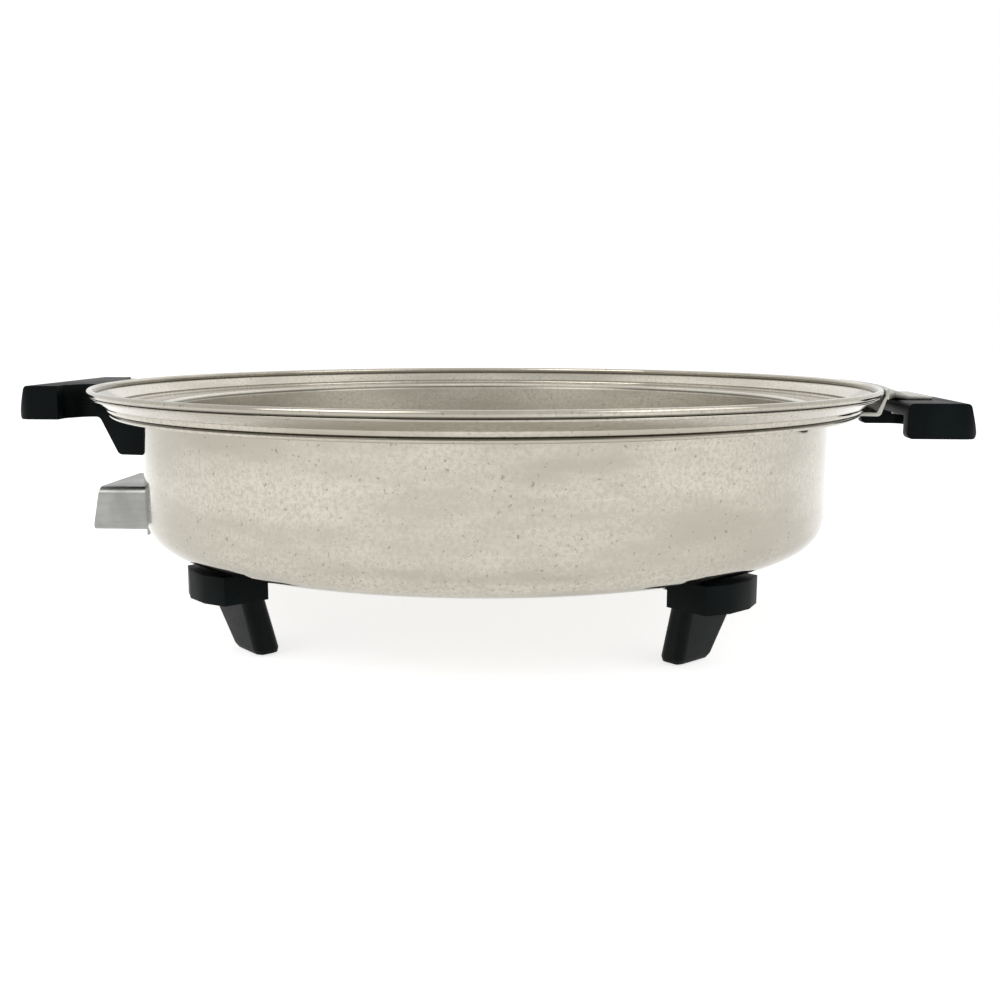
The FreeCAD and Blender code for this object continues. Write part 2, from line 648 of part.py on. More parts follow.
def make_leg(name, direction):
    """Phenolic leg: a head with cut corners, a tab for the stud, and a blade that slants in."""
    body = new_body(name)
    head = sketch_on(body, "XY_Plane", leg_head_under)
    half = s.leg_head_width / 2
    flat = half - s.leg_head_chamfer
    outline(head, (
        (leg_head_inner, -half),
        (leg_head_outer - s.leg_head_cut, -half),
        (leg_head_outer, -flat),
        (leg_head_outer, flat),
        (leg_head_outer - s.leg_head_cut, half),
        (leg_head_inner, half)))
    pad(body, head, s.leg_head)
    tab = sketch_on(body, "XY_Plane", leg_head_top)
    across = s.leg_tab_width / 2
    tab_end = leg_head_inner - s.leg_tab_length
    tab_root = leg_head_inner + s.leg_top_depth
    outline(tab, (
        (tab_end, -across, s.leg_tab_corner),
        (tab_root, -across),
        (tab_root, across),
        (tab_end, across, s.leg_tab_corner)))
    pad(body, tab, s.leg_tab, backwards=True)
    halfway = s.leg_foot_round * (1 - math.sqrt(0.5))
    sections = [
        blade_section(body, level, inset) for level, inset in (
            (as_size(0), s.leg_foot_round), (halfway, halfway),
            (s.leg_foot_round, as_size(0)), (leg_head_under, as_size(0)))]
    blade = body.newObject("PartDesign::AdditiveLoft", "%s_blade" % name)
    blade.Profile = sections[0]
    blade.Sections = sections[1:]
    blade.Ruled = True
    finish_feature(body, blade)
    hole = sketch_on(body, "XY_Plane", leg_head_top)
    ring(hole, stud_place, 0, s.stud_diameter + s.hole_play)
    pocket(body, hole, s.leg_tab)
    seat = sketch_on(body, "XY_Plane", nut_seat)
    ring(seat, stud_place, 0, s.nut_width * 2 / math.sqrt(3) + s.nut_play)
    pocket(body, seat, s.nut_pocket)
    body.Placement = FreeCAD.Placement(Vector(), FreeCAD.Rotation(Vector(0, 0, 1), direction.number))
    body.setExpression(".Placement.Rotation.Angle", direction.text)


def leg_places(radius):
    """Centres of the four legs' fasteners."""
    x, y = polar(radius, s.leg_angle)
    return ((x, y), (-x, y), (-x, -y), (x, -y))


def make_leg_fasteners():
    """Studs welded under the shell, the washers that stand the legs off, and the nuts."""
    stud_end = nut_seat - s.nut_height - s.stud_past
    for name, low, high, outside in (
            ("leg_studs", stud_end, s.leg_height, s.stud_diameter),
            ("leg_washers", leg_head_top, s.leg_height, s.washer_diameter)):
        body = new_body(name)
        sketch = sketch_on(body, "XY_Plane", low)
        for x, y in leg_places(stud_place):
            ring(sketch, x, y, outside)
            if name == "leg_washers":
                ring(sketch, x, y, s.stud_diameter + s.hole_play)
        pad(body, sketch, high - low)
    nuts = new_body("leg_nuts")
    sketch = sketch_on(nuts, "XY_Plane", nut_seat - s.nut_height)
    half = s.nut_width / 2
    tip = s.nut_width / math.sqrt(3)
    for x, y in leg_places(stud_place):
        outline(sketch, ((x + tip, y), (x + tip / 2, y + half), (x - tip / 2, y + half),
                         (x - tip, y), (x - tip / 2, y - half), (x + tip / 2, y - half)))
        ring(sketch, x, y, s.stud_diameter + s.hole_play)
    pad(nuts, sketch, s.nut_height)


def cut_for_vessel(body, low, high):
    """Cut away what would reach into the shell's wall, the ledge, the riser or the lip."""
    gap = s.fit_gap
    envelope = sketch_on(body, "XZ_Plane")
    outline(envelope, (
        (0, low),
        (s.shell_radius + gap, low),
        (s.shell_radius + gap, ledge_under - gap),
        (ledge_radius + gap, ledge_under - gap),
        (ledge_radius + gap, ledge_under + s.riser_foot),
        (riser_radius + gap, lip_under - gap),
        (rim_radius + gap, lip_under - gap),
        (rim_radius + gap, high),
        (0, high)))
    turn(body, envelope, "Groove")


def narrow_neck(body, root_place):
    """Cut the sides away between the vessel and the grip, so that a waisted neck is left."""
    half = s.grip_width / 2
    plan = sketch_on(body, "XY_Plane", s.leg_height)
    for side in (-1, 1):
        corners = [
            (root_place, side * s.neck_width / 2),
            (grip_root - s.neck_throat, side * s.neck_waist / 2, s.neck_throat),
            (grip_root, side * (half - s.grip_corner), s.grip_heel),
            (grip_root, side * (half + s.cut_past)),
            (root_place, side * (half + s.cut_past))]
        outline(plan, corners if side > 0 else corners[::-1])
    pocket(body, plan, s.body_height, backwards=True)


def round_grip_ends(body, end_reach):
    """Round the grip's outer corners, seen from above."""
    half = s.grip_width / 2
    margin = s.grip_corner + s.cut_past
    plan = sketch_on(body, "XY_Plane", s.leg_height)
    for side in (-1, 1):
        corners = [
            (end_reach - margin, side * half),
            (end_reach, side * half, s.grip_corner),
            (end_reach, side * (half - margin)),
            (end_reach + s.cut_past, side * (half - margin)),
            (end_reach + s.cut_past, side * (half + s.cut_past)),
            (end_reach - margin, side * (half + s.cut_past))]
        outline(plan, corners if side > 0 else corners[::-1])
    pocket(body, plan, s.body_height, backwards=True)


def make_probe_side_handle():
    """Phenolic grip with a neck under the lip and a skirt that is screwed to the shell's wall."""
    body = new_body("probe_side_handle")
    inner = s.shell_radius - s.boss_length
    skirt_under = ledge_under - s.skirt_height
    end_reach = grip_reach + s.grip_slant
    side_view = sketch_on(body, "XZ_Plane")
    outline(side_view, (
        (inner, skirt_under),
        (s.shell_radius + s.skirt_foot, skirt_under, s.skirt_round),
        (s.shell_radius + s.skirt_top, grip_under, s.skirt_round),
        (end_reach, grip_under, s.grip_round),
        (grip_reach, grip_top, s.grip_round),
        (inner, grip_top)))
    pad(body, side_view, s.grip_width, both_sides=True)
    cut_for_vessel(body, skirt_under - s.cut_past, grip_top + s.cut_past)
    narrow_neck(body, inner)
    round_grip_ends(body, end_reach)
    bores = sketch_on(body, "YZ_Plane")
    shanks = sketch_on(body, "YZ_Plane")
    heads = sketch_on(body, "YZ_Plane", s.shell_radius + s.boss_length + s.screw_web)
    for side in (-1, 1):
        y = side * s.handle_screw_spacing / 2
        ring(bores, y, screw_height, s.boss_diameter + s.hole_play)
        ring(shanks, y, screw_height, s.handle_screw + s.hole_play)
        ring(heads, y, screw_height, s.handle_screw_head + s.hole_play)
    pocket(body, bores, s.shell_radius + s.boss_length + s.fit_gap, backwards=True)
    pocket(body, shanks, grip_root, backwards=True)
    pocket(body, heads, grip_root, backwards=True)
    face_probe_side(body)


def face_probe_side(body):
    """Turn a body that was drawn along +X round to the probe side."""
    body.Placement = FreeCAD.Placement(Vector(), FreeCAD.Rotation(Vector(0, 0, 1), 180))


def make_handle_bosses():
    """Tapped bosses welded to the shell's wall, for the probe-side handle's screws."""
    body = new_body("probe_handle_bosses")
    solid = sketch_on(body, "YZ_Plane", s.shell_radius - s.boss_length)
    tapped = sketch_on(body, "YZ_Plane", s.shell_radius + s.boss_length)
    for side in (-1, 1):
        y = side * s.handle_screw_spacing / 2
        ring(solid, y, screw_height, s.boss_diameter)
        ring(tapped, y, screw_height, s.handle_screw + s.braze_gap)
    pad(body, solid, 2 * s.boss_length)
    pocket(body, tapped, s.boss_length)
    wall = sketch_on(body, "XZ_Plane")
    rectangle(wall, 0, s.shell_radius, s.leg_height, ledge_under)
    turn(body, wall, "Groove")
    face_probe_side(body)


def make_handle_screws():
    """Round-headed screws that hold each handle, with a slot for the driver."""
    seat = s.shell_radius + s.boss_length + s.screw_web
    body = new_body("probe_handle_screws")
    heads = sketch_on(body, "YZ_Plane", seat)
    shanks = sketch_on(body, "YZ_Plane", seat)
    slots = sketch_on(body, "YZ_Plane", seat + s.screw_head_height)
    for side in (-1, 1):
        y = side * s.handle_screw_spacing / 2
        ring(heads, y, screw_height, s.handle_screw_head)
        ring(shanks, y, screw_height, s.handle_screw)
        rectangle(slots, y - s.handle_screw_head, y + s.handle_screw_head,
                  screw_height - s.screw_slot / 2, screw_height + s.screw_slot / 2)
    pad(body, heads, s.screw_head_height)
    pad(body, shanks, s.screw_web + s.boss_length - s.boss_spare, backwards=True)
    pocket(body, slots, s.screw_head_height / 2)
    face_probe_side(body)
    body = new_body("far_handle_screws")
    heads = sketch_on(body, "XY_Plane", far_seat)
    shanks = sketch_on(body, "XY_Plane", far_seat)
    slots = sketch_on(body, "XY_Plane", far_seat - s.screw_head_height)
    for side in (-1, 1):
        y = side * s.far_screw_spacing / 2
        ring(heads, far_screw_place, y, s.handle_screw_head)
        ring(shanks, far_screw_place, y, s.handle_screw)
        rectangle(slots, far_screw_place - s.screw_slot / 2, far_screw_place + s.screw_slot / 2,
                  y - s.handle_screw_head, y + s.handle_screw_head)
    pad(body, heads, s.screw_head_height, backwards=True)
    pad(body, shanks, tongue_top - far_seat)
    pocket(body, slots, s.screw_head_height / 2, backwards=True)


def make_far_side_handle():
    """Phenolic grip, hollow below and open to the vessel, screwed up under the bracket's tongue."""
    body = new_body("far_side_handle")
    end_reach = far_reach + s.grip_slant
    side_view = sketch_on(body, "XZ_Plane")
    outline(side_view, (
        (far_root, far_grip_under, s.grip_round),
        (end_reach, far_grip_under, s.grip_round),
        (far_reach, far_grip_top, s.grip_round),
        (far_root, far_grip_top, s.grip_round)))
    pad(body, side_view, s.grip_width, both_sides=True)
    round_grip_ends(body, end_reach)
    hollow = sketch_on(body, "XY_Plane", far_seat)
    half = s.grip_width / 2 - s.far_end_wall
    wall = far_reach - s.far_outer_wall
    outline(hollow, (
        (far_root - s.cut_past, -half),
        (wall, -half, s.far_hollow_round),
        (wall, half, s.far_hollow_round),
        (far_root - s.cut_past, half)))
    pocket(body, hollow, s.grip_height)
    shanks = sketch_on(body, "XY_Plane", far_grip_top)
    for side in (-1, 1):
        ring(shanks, far_screw_place, side * s.far_screw_spacing / 2, s.handle_screw + s.hole_play)
    pocket(body, shanks, s.far_roof)


def make_far_handle_bracket():
    """Bent sheet from under the ledge, up beside the lip and down a slope to a tongue."""
    body = new_body("far_handle_bracket")
    gap = s.fit_gap
    thick = s.bracket_sheet
    crest = rim_radius + gap
    inner_edge = s.shell_radius + s.bracket_root
    heel = ledge_radius + s.bracket_heel
    section = sketch_on(body, "XZ_Plane")
    outline(section, (
        (inner_edge, ledge_under - gap - thick),
        (heel, ledge_under - gap - thick, s.bracket_heel_round),
        (crest + thick / 2, lip_under - thick),
        (bracket_fold, far_grip_top),
        (bracket_fold + thick, far_grip_top),
        (bracket_fold + thick, tongue_top),
        (bracket_fold + thick / 4, tongue_top),
        (crest + thick / 2, lip_top),
        (crest, lip_top - thick / 2),
        (crest, lip_under - gap),
        (heel - thick, ledge_under - gap),
        (inner_edge, ledge_under - gap)))
    turn(body, section, angle=angle_across(s.bracket_width, rim_radius))
    taper = sketch_on(body, "XY_Plane", s.leg_height)
    half = s.bracket_width / 2
    arm = s.bracket_tongue / 2
    edge = root(crest * crest - half * half) + thick
    far = bracket_fold + 3 * thick
    aside = half * bracket_fold / crest + 2 * thick
    for side in (-1, 1):
        corners = [
            (edge, side * half),
            (rim_radius + s.bracket_shoulder, side * arm, s.bracket_flare),
            (far, side * arm),
            (far, side * aside),
            (edge, side * aside)]
        outline(taper, corners if side > 0 else corners[::-1])
    pocket(body, taper, s.body_height, backwards=True)
    tongue = sketch_on(body, "XY_Plane", far_grip_top)
    rectangle(tongue, bracket_fold, far_root + s.bracket_tongue_end, -arm, arm)
    pad(body, tongue, thick)
    holes = sketch_on(body, "XY_Plane", tongue_top)
    for side in (-1, 1):
        ring(holes, far_screw_place, side * s.far_screw_spacing / 2, s.handle_screw + s.braze_gap)
    pocket(body, holes, thick)


def check_everything():
    """Stop before anything is written if a feature failed or a sub-part has no sound shape."""
    for item in doc.Objects:
        if "Invalid" in item.State or "Error" in item.State:
            raise RuntimeError("%s failed: %s" % (item.Label, item.getStatusString()))
    for body in doc.findObjects("PartDesign::Body"):
        if body.Shape.isNull() or not body.Shape.isValid():
            raise RuntimeError("%s has no sound shape" % body.Label)


make_inner_pan()
make_outer_shell()
make_heat_spreader()
make_heating_element()
make_pin_insulators()
make_terminal_pins()
make_probe_tube()
make_ferrules("element_ferrules", (-s.pin_spacing / 2, s.pin_spacing / 2), s.element_tube, element_seat)
make_ferrules("probe_ferrule", (0,), probe_outer, probe_seat)
make_probe_guard()
for name, direction in (
        ("leg_rear_right", s.leg_angle), ("leg_rear_left", 180 - s.leg_angle),
        ("leg_front_left", 180 + s.leg_angle), ("leg_front_right", -s.leg_angle)):
    make_leg(name, direction)
make_leg_fasteners()
make_probe_side_handle()
make_handle_bosses()
make_far_side_handle()
make_far_handle_bracket()
make_handle_screws()
doc.recompute()

check_everything()
os.makedirs("parts", exist_ok=True)
for body in doc.findObjects("PartDesign::Body"):
    body.Shape.exportStep("parts/%s.step" % body.Label)
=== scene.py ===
"""Electric skillet: the looks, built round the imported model."""

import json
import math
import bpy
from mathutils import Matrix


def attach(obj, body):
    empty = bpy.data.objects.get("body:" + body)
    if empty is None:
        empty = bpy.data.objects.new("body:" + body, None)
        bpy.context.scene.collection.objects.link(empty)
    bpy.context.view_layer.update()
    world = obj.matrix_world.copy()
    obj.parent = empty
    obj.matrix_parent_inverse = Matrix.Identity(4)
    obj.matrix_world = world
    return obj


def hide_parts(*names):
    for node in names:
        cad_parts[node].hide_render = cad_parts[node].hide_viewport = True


bl_info = {
    "name": "Electric Skillet",
    "version": (1, 0, 0),
    "blender": (4, 5, 0),
    "location": "View3D > Sidebar > Skillet",
    "description": "Dresses the skillet's frame with its steel, its phenolic and its small parts",
    "category": "Add Mesh",
}

import bmesh
import bpy
from mathutils import Euler, Matrix, Vector

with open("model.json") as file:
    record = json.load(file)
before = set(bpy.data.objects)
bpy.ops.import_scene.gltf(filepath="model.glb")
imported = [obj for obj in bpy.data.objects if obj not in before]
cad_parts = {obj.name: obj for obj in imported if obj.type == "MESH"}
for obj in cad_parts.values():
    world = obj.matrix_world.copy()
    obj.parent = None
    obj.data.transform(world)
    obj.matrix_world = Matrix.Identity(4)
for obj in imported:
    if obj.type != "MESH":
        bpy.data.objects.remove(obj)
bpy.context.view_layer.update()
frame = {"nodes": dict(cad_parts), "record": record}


# Materials ---------------------------------------------------------------------------------------

# Patterns, in features per metre. One pixel of the render is about 0.3 mm on the near wall and 0.4 mm at
# the axis, so finer patterns are drawn as coarse as they need to show. "Really" gives the usual size.
BRUSH_LINE = (9.0, 2600.0)   # round the axis and across it: 110 mm by 0.4 mm; really about 0.1 mm
BRUSH_BAND = (5.0, 700.0)    # bands of lines: 200 mm long, 1.4 mm wide
SHEET_CLOUD = (14.0, 60.0)   # duller streaks: 71 mm long, 17 mm high
MARK_CLOUD = (24.0, 70.0)    # islands of water marks: 42 mm long, 14 mm high
SHINE_PATCH = 17.0           # patches of wear: 59 mm
MARK_FLECK = 1500.0          # flecks of a water mark: 0.7 mm; really 0.2 to 1 mm
HANDLING_MOTTLE = 640.0      # mottling of the worn surface: 1.6 mm
PIT_SPECK = 620.0            # pits: 1.6 mm apart, drawn wider than the real 0.1 to 0.3 mm
MILL_GRAIN = (60.0, 60.0, 900.0)  # grain of the folded sheet: 17 mm long, 1.1 mm high; really 0.1 mm
SHEET_PATCH = 40.0           # rubbed places on the folded sheet: 25 mm
BLOOM_PATCH = 55.0           # bloom on the phenolic: 18 mm
MOULD_FLECK = 900.0          # filler flecks in the phenolic: 1.1 mm; really 0.3 mm
MOULD_WAVE = 120.0           # waves left by the mould: 8 mm
TARNISH_PATCH = 320.0        # tarnish on small parts: 3 mm
STEATITE_GRAIN = 700.0       # grain of the fired bushes: 1.4 mm; really under 0.1 mm

# Lines of painted shade in the grooves under the lip and under the ledge: height above the worktop and
# half width, in metres
LIP_SHADE_LINE = (0.0957, 0.0005)
LEDGE_SHADE_LINE = (0.0888, 0.0006)
# Radii between which the pan's scoured inside gives way to its shinier rim, in metres
RIM_STARTS = 0.139
INSIDE_ENDS = 0.137

def hex_colour(code):
    """Turn an sRGB hex colour into the linear one that the shaders take."""
    parts = [int(code[i:i + 2], 16) / 255 for i in (1, 3, 5)]
    return [p / 12.92 if p <= 0.04045 else ((p + 0.055) / 1.055) ** 2.4 for p in parts] + [1.0]


def add_node(tree, kind, inputs=None, **settings):
    """Add a node with its settings, and fill or link its inputs."""
    node = tree.nodes.new(kind)
    for key, value in settings.items():
        setattr(node, key, value)
    for key, value in (inputs or {}).items():
        if isinstance(value, bpy.types.NodeSocket):
            tree.links.new(value, node.inputs[key])
        else:
            node.inputs[key].default_value = value
    return node


def new_material(name):
    """Start a material: its tree, its shader and its object coordinates in metres."""
    material = bpy.data.materials.new(name)
    material.use_nodes = True
    tree = material.node_tree
    shader = tree.nodes["Principled BSDF"]
    place = add_node(tree, "ShaderNodeTexCoord").outputs["Object"]
    return material, tree, shader, place


def mixed(tree, factor, first, second):
    """Mix two colours by a factor."""
    return add_node(tree, "ShaderNodeMix", {0: factor, 6: first, 7: second}, data_type="RGBA").outputs[2]


def ranged(tree, value, low, high, to_low=0.0, to_high=1.0):
    """Map a value from one range to another, clamped and eased."""
    return add_node(tree, "ShaderNodeMapRange", {
        "Value": value, "From Min": low, "From Max": high, "To Min": to_low, "To Max": to_high,
    }, interpolation_type="SMOOTHSTEP").outputs["Result"]


def worked(tree, operation, first, second=0.0):
    """One step of arithmetic on values."""
    return add_node(tree, "ShaderNodeMath", {0: first, 1: second}, operation=operation).outputs[0]


def seen_or_mirrored(tree):
    """One for rays that are seen, mirrored or let through, nought for those that light."""
    path = add_node(tree, "ShaderNodeLightPath").outputs
    return worked(tree, "MAXIMUM", path["Is Camera Ray"],
                  worked(tree, "MAXIMUM", path["Is Glossy Ray"], path["Is Transmission Ray"]))


def noise(tree, vector, scale, detail=4.0, roughness=0.5):
    """Noise of the given scale, features per metre."""
    return add_node(tree, "ShaderNodeTexNoise", {
        "Vector": vector, "Scale": scale, "Detail": detail, "Roughness": roughness}).outputs["Fac"]


def round_the_axis(tree, place, along, across):
    """Coordinates for lines that run round the vessel's axis, on walls and floors alike."""
    parts = add_node(tree, "ShaderNodeSeparateXYZ", {0: place}).outputs
    flat = add_node(tree, "ShaderNodeCombineXYZ", {0: parts[0], 1: parts[1]}).outputs[0]
    radius = add_node(tree, "ShaderNodeVectorMath", {0: flat}, operation="LENGTH").outputs["Value"]
    depth = worked(tree, "ADD", radius, parts[2])
    return add_node(tree, "ShaderNodeCombineXYZ", {
        0: worked(tree, "MULTIPLY", parts[0], along),
        1: worked(tree, "MULTIPLY", parts[1], along),
        2: worked(tree, "MULTIPLY", depth, across)}).outputs[0], parts, radius


def drawn_stainless(name, clean, dull, spots, marks_low, marks_high, wear, groove_shade, haze):
    """Deep-drawn stainless sheet brushed round its axis: fine level lines, water marks and specks.

    It gives a warm, nearly sharp mirror with fine level lines in it. Water marks dull the shine in
    islands, small dark specks are pits, and painted shade darkens the grooves under the lip and under
    the ledge."""
    material, tree, shader, place = new_material(name)
    lines, parts, radius = round_the_axis(tree, place, *BRUSH_LINE)
    fine = noise(tree, lines, 1.0, 3.0, 0.65)
    coarse_lines, _, _ = round_the_axis(tree, place, *BRUSH_BAND)
    coarse = noise(tree, coarse_lines, 1.0, 2.0, 0.5)
    streaks, _, _ = round_the_axis(tree, place, *SHEET_CLOUD)
    cloud = noise(tree, streaks, 1.0, 4.0, 0.55)
    patches = noise(tree, place, SHINE_PATCH, 5.0, 0.6)
    tone = mixed(tree, ranged(tree, cloud, 0.35, 0.68), clean, dull)
    # water marks: clouds of small pale flecks, thick in one band of the wall
    band = worked(tree, "MULTIPLY",
                  ranged(tree, parts[2], marks_low - 0.008, marks_low + 0.006),
                  ranged(tree, parts[2], marks_high + 0.014, marks_high - 0.006))
    flecks = ranged(tree, noise(tree, place, MARK_FLECK, 3.0, 0.65), 0.48, 0.60)
    drift, _, _ = round_the_axis(tree, place, *MARK_CLOUD)
    clouds = ranged(tree, noise(tree, drift, 1.0, 6.0, 0.75), 0.50, 0.66)
    marks = worked(tree, "MULTIPLY", flecks, worked(tree, "MULTIPLY", clouds, band))
    tone = mixed(tree, worked(tree, "MULTIPLY", marks, wear), tone, spots)
    tone = mixed(tree, worked(tree, "MULTIPLY", ranged(tree, fine, 0.3, 0.8), 0.30), tone, dull)
    mottle = noise(tree, place, HANDLING_MOTTLE, 5.0, 0.8)
    tone = mixed(tree, worked(tree, "MULTIPLY", ranged(tree, mottle, 0.42, 0.62), 0.80), tone, dull)
    specks = ranged(tree, noise(tree, place, PIT_SPECK, 2.0, 0.5), 0.65, 0.73)
    tone = mixed(tree, worked(tree, "MULTIPLY", specks, 0.4), tone, hex_colour("#4A4740"))
    # painted shade in the two grooves, under the lip and under the ledge: a darker tone where the lip
    # and the ledge shade the sheet
    for height, reach in (LIP_SHADE_LINE, LEDGE_SHADE_LINE):
        off = worked(tree, "ABSOLUTE", worked(tree, "SUBTRACT", parts[2], height))
        painted_groove_shade = worked(tree, "MULTIPLY", ranged(tree, off, reach, reach * 0.4), groove_shade)
        tone = mixed(tree, painted_groove_shade, tone, hex_colour("#5A574E"))
    tree.links.new(tone, shader.inputs["Base Color"])
    rough = worked(tree, "ADD", worked(tree, "MULTIPLY", fine, 0.05),
                   worked(tree, "MULTIPLY", coarse, 0.03))
    rough = worked(tree, "ADD", rough, worked(tree, "MULTIPLY", marks, 0.12))
    rough = worked(tree, "ADD", rough, worked(tree, "MULTIPLY", patches, 0.04))
    # the pan's inside is scoured and hazier than its rim
    inside = worked(tree, "MULTIPLY", ranged(tree, radius, RIM_STARTS, INSIDE_ENDS, 0.35, 1.0), haze)
    tree.links.new(worked(tree, "ADD", rough, inside), shader.inputs["Roughness"])
    shader.inputs["Metallic"].default_value = 1.0
    shader.inputs["Anisotropic"].default_value = 0.6
    shader.inputs["Anisotropic Rotation"].default_value = 0.25
    tree.links.new(add_node(tree, "ShaderNodeTangent", direction_type="RADIAL", axis="Z").outputs[0],
                   shader.inputs["Tangent"])
    relief = add_node(tree, "ShaderNodeBump", {
        "Height": fine, "Strength": 0.12, "Distance": 0.00004}).outputs["Normal"]
    pits = add_node(tree, "ShaderNodeBump", {
        "Height": worked(tree, "SUBTRACT", marks, specks), "Strength": 0.12, "Distance": 0.00010,
        "Normal": relief}).outputs["Normal"]
    # slow swells in the sheet bend the reflections a little, as a hand-finished pan's do
    swell = noise(tree, streaks, 0.45, 1.0, 0.4)
    sheet = add_node(tree, "ShaderNodeBump", {
        "Height": swell, "Strength": 0.3, "Distance": 0.0010, "Normal": pits}).outputs["Normal"]
    tree.links.new(sheet, shader.inputs["Normal"])
    return material


def folded_stainless(name, clean, dull):
    """Folded stainless strip with a straight mill grain and rubbed, slightly duller patches."""
    material, tree, shader, place = new_material(name)
    turned = add_node(tree, "ShaderNodeMapping", {"Vector": place, "Scale": MILL_GRAIN}).outputs[0]
    grain = noise(tree, turned, 1.0, 3.0, 0.6)
    patches = noise(tree, place, SHEET_PATCH, 4.0, 0.6)
    tone = mixed(tree, ranged(tree, patches, 0.35, 0.7), clean, dull)
    tone = mixed(tree, worked(tree, "MULTIPLY", ranged(tree, grain, 0.35, 0.75), 0.25), tone, dull)
    tree.links.new(tone, shader.inputs["Base Color"])
    rough = worked(tree, "ADD", worked(tree, "MULTIPLY", grain, 0.18),
                   worked(tree, "MULTIPLY", patches, 0.22))
    tree.links.new(worked(tree, "ADD", rough, 0.14), shader.inputs["Roughness"])
    shader.inputs["Metallic"].default_value = 1.0
    relief = add_node(tree, "ShaderNodeBump", {
        "Height": grain, "Strength": 0.12, "Distance": 0.00005}).outputs["Normal"]
    tree.links.new(relief, shader.inputs["Normal"])
    return material


def moulded_phenolic(name, black, bloom):
    """Compression-moulded black phenolic: near-black satin with a faint cool bloom and fine dents."""
    material, tree, shader, place = new_material(name)
    bloom_patches = noise(tree, place, BLOOM_PATCH, 4.0, 0.6)
    fleck = noise(tree, place, MOULD_FLECK, 3.0, 0.6)
    tone = mixed(tree, ranged(tree, bloom_patches, 0.42, 0.78), black, bloom)
    tree.links.new(tone, shader.inputs["Base Color"])
    rough = worked(tree, "ADD", worked(tree, "MULTIPLY", bloom_patches, 0.30),
                   worked(tree, "MULTIPLY", fleck, 0.12))
    tree.links.new(worked(tree, "ADD", rough, 0.24), shader.inputs["Roughness"])
    shader.inputs["IOR"].default_value = 1.6
    shader.inputs["Specular IOR Level"].default_value = 0.05
    dents = add_node(tree, "ShaderNodeBump", {
        "Height": fleck, "Strength": 0.18, "Distance": 0.00006}).outputs["Normal"]
    waves = noise(tree, place, MOULD_WAVE, 2.0, 0.5)
    skin = add_node(tree, "ShaderNodeBump", {
        "Height": waves, "Strength": 0.22, "Distance": 0.0003, "Normal": dents}).outputs["Normal"]
    tree.links.new(skin, shader.inputs["Normal"])
    return material


def small_metal(name, clean, dull, roughness):
    """Turned or drawn metal of the small parts, a little tarnished in patches."""
    material, tree, shader, place = new_material(name)
    patches = noise(tree, place, TARNISH_PATCH, 4.0, 0.6)
    tree.links.new(mixed(tree, ranged(tree, patches, 0.35, 0.7), clean, dull),
                   shader.inputs["Base Color"])
    tree.links.new(worked(tree, "ADD", worked(tree, "MULTIPLY", patches, 0.2), roughness - 0.1),
                   shader.inputs["Roughness"])
    shader.inputs["Metallic"].default_value = 1.0
    return material


def fired_ceramic(name, body, shade):
    """Unglazed steatite: off-white, matt, with a faint grain."""
    material, tree, shader, place = new_material(name)
    grain = noise(tree, place, STEATITE_GRAIN, 4.0, 0.6)
    tree.links.new(mixed(tree, ranged(tree, grain, 0.3, 0.7), body, shade),
                   shader.inputs["Base Color"])
    tree.links.new(worked(tree, "ADD", worked(tree, "MULTIPLY", grain, 0.2), 0.5),
                   shader.inputs["Roughness"])
    return material


# Shapes ------------------------------------------------------------------------------------------

SPIN_STEPS = 192           # faces round the axis of a turned piece
WIRE_SEGMENTS = 20         # faces round a wire
CORNER_SEGMENTS = 8        # faces across a rounded corner of the turned sheet
SAME_PLACE = 0.000005      # metres within which a turned edge belongs to a corner
SMOOTH_ANGLE = 35.0        # degrees above which an edge is shaded sharp
SHARP_ANGLE = 28.0         # degrees above which an edge of a moulding or sheet is eased
FLAT_ANGLE = 1.0           # degrees under which neighbouring faces become one

def finish_piece(mesh, name, material, node):
    """Make a mesh the piece that stands for a CAD node and its body."""
    mesh.materials.clear()
    mesh.materials.append(material)
    piece = bpy.data.objects.new(name, mesh)
    bpy.context.scene.collection.objects.link(piece)
    for face in mesh.polygons:
        face.use_smooth = True
    mesh.set_sharp_from_angle(angle=math.radians(SMOOTH_ANGLE))
    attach(piece, "root")
    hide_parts(node)
    return piece


def turned_sheet(work, corners, thickness):
    """Spin a section of (radius, height, rounding) corners round the axis and thicken it inwards."""
    chain = [work.verts.new((radius, 0, height)) for radius, height, _ in corners]
    links = [work.edges.new(pair) for pair in zip(chain, chain[1:])]
    bmesh.ops.spin(work, geom=chain + links, cent=(0, 0, 0), axis=(0, 0, 1), angle=2 * math.pi,
                   steps=SPIN_STEPS, use_merge=True)
    bmesh.ops.remove_doubles(work, verts=work.verts, dist=0.000001)
    for radius, height, rounding in corners:
        if not rounding:
            continue
        rim = [e for e in work.edges if all(
            abs(v.co.z - height) < SAME_PLACE and abs(v.co.xy.length - radius) < SAME_PLACE
            for v in e.verts)]
        tangent = rounding * math.tan(rim[0].calc_face_angle() / 2)
        bmesh.ops.bevel(work, geom=rim, offset=tangent, offset_type="OFFSET",
                        segments=CORNER_SEGMENTS, profile=0.5, affect="EDGES", material=-1)
    bmesh.ops.recalc_face_normals(work, faces=work.faces)
    wall = max(work.faces, key=lambda f: f.calc_center_median().xy.length)
    if wall.normal.xy.dot(wall.calc_center_median().xy) < 0:
        bmesh.ops.reverse_faces(work, faces=work.faces)
    bmesh.ops.solidify(work, geom=work.faces[:], thickness=thickness)


def turned_wire(work, radius, height, thickness):
    """Spin a round wire round the axis."""
    upright = Matrix.Translation((radius, 0, height)) @ Matrix.Rotation(math.pi / 2, 4, "X")
    wire = bmesh.ops.create_circle(
        work, segments=WIRE_SEGMENTS, radius=thickness / 2, matrix=upright)["verts"]
    links = list({e for v in wire for e in v.link_edges})
    bmesh.ops.spin(work, geom=wire + links, cent=(0, 0, 0), axis=(0, 0, 1), angle=2 * math.pi,
                   steps=SPIN_STEPS, use_merge=True)


